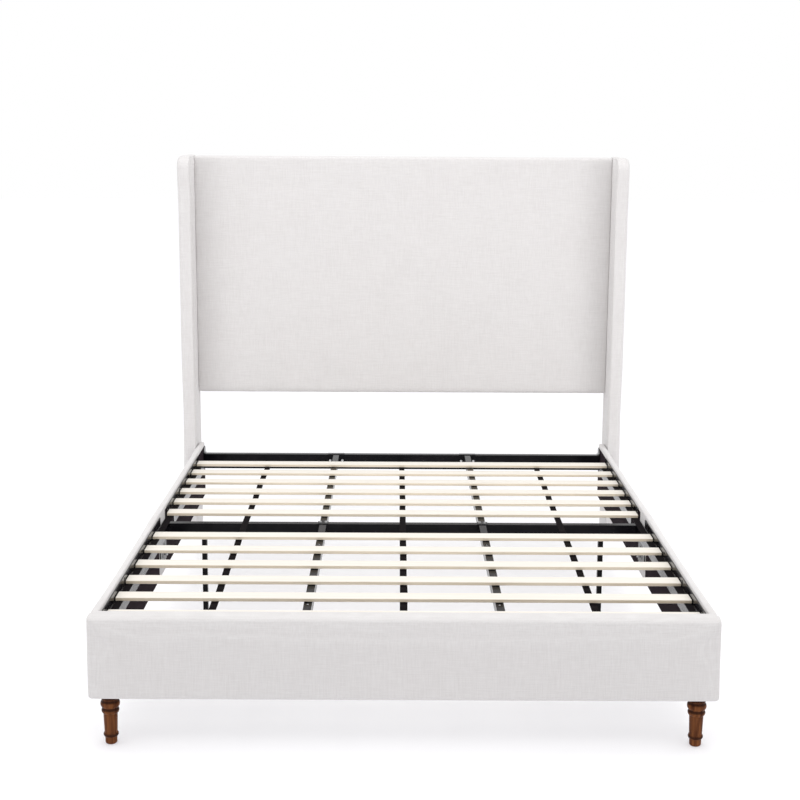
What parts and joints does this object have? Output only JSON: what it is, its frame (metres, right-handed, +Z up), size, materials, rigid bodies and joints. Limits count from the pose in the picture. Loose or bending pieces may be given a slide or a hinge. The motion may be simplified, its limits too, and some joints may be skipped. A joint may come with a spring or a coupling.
{
  "type": "upholstered headboard bed",
  "caption": "Low upholstered platform bed with padded side rails and footboard, slatted steel deck, turned front legs and a tall plain headboard between full-height wings",
  "frame": {"origin": "on the floor under the middle of the bed", "axes": "X across the bed, Y from the foot (-Y) to the headboard (+Y), Z up"},
  "size_m": [1.705, 2.163, 1.478],
  "materials": {
    "upholstery": "plain woven off-white linen over foam",
    "timber": "bare timber and board",
    "slat_wood": "pale smooth laminated wood",
    "walnut": "turned wood with a dark satin stain",
    "black_steel": "glossy black powder coat",
    "zinc": "bright zinc plate",
    "black_lining": "thin black non-woven cloth",
    "webbing": "woven black webbing",
    "nylon": "moulded black nylon"
  },
  "bodies": {
    "bed_frame": {"footboard_cover": "upholstery", "footboard_core": "timber", "footboard_lining": "black_lining", "side_rail_cover_left_foot": "upholstery", "side_rail_cover_left_head": "upholstery", "side_rail_cover_right_foot": "upholstery", "side_rail_cover_right_head": "upholstery", "side_rail_core_left_foot": "timber", "side_rail_core_left_head": "timber", "side_rail_core_right_foot": "timber", "side_rail_core_right_head": "timber", "side_rail_lining_left": "black_lining", "side_rail_lining_right": "black_lining", "rail_angle_left_foot": "black_steel", "rail_angle_left_head": "black_steel", "rail_angle_right_foot": "black_steel", "rail_angle_right_head": "black_steel", "crossbar_bracket_left": "black_steel", "crossbar_bracket_right": "black_steel", "rear_bracket_left": "black_steel", "rear_bracket_right": "black_steel", "wing_cover_left": "upholstery", "wing_cover_right": "upholstery", "wing_core_left": "timber", "wing_core_right": "timber", "wing_glides": "nylon", "headboard_pad": "upholstery", "headboard_frame": "timber", "headboard_back_cloth": "black_lining", "beam_left": "black_steel", "beam_right": "black_steel", "beam_brackets": "black_steel", "middle_crossbar": "black_steel", "rear_crossbar": "black_steel", "front_leg_left": "walnut", "front_leg_right": "walnut", "corner_blocks": "timber", "leg_plates": "black_steel", "leg_hanger_bolts": "zinc", "support_legs": "black_steel", "leg_plugs": "nylon", "joint_bolts": "zinc", "steel_bolts": "zinc", "wood_screws": "black_steel"},
    "slat_roll": {"slat_01": "slat_wood", "slat_02": "slat_wood", "slat_03": "slat_wood", "slat_04": "slat_wood", "slat_05": "slat_wood", "slat_06": "slat_wood", "slat_07": "slat_wood", "slat_08": "slat_wood", "slat_09": "slat_wood", "slat_10": "slat_wood", "slat_11": "slat_wood", "slat_12": "slat_wood", "slat_straps": "webbing"},
    "foot_left": {"levelling_foot_left": "nylon"},
    "foot_centre": {"levelling_foot_centre": "nylon"},
    "foot_right": {"levelling_foot_right": "nylon"}
  },
  "joints": [
    {"name": "slat_roll_lift", "type": "slide", "parent": "bed_frame", "child": "slat_roll", "axis": [0, 0, 1], "range_m": [0, 0.35]},
    {"name": "foot_left_level", "type": "slide", "parent": "bed_frame", "child": "foot_left", "axis": [0, 0, -1], "range_m": [-0.008, 0.012]},
    {"name": "foot_centre_level", "type": "slide", "parent": "bed_frame", "child": "foot_centre", "axis": [0, 0, -1], "range_m": [-0.008, 0.012]},
    {"name": "foot_right_level", "type": "slide", "parent": "bed_frame", "child": "foot_right", "axis": [0, 0, -1], "range_m": [-0.008, 0.012]}
  ]
}
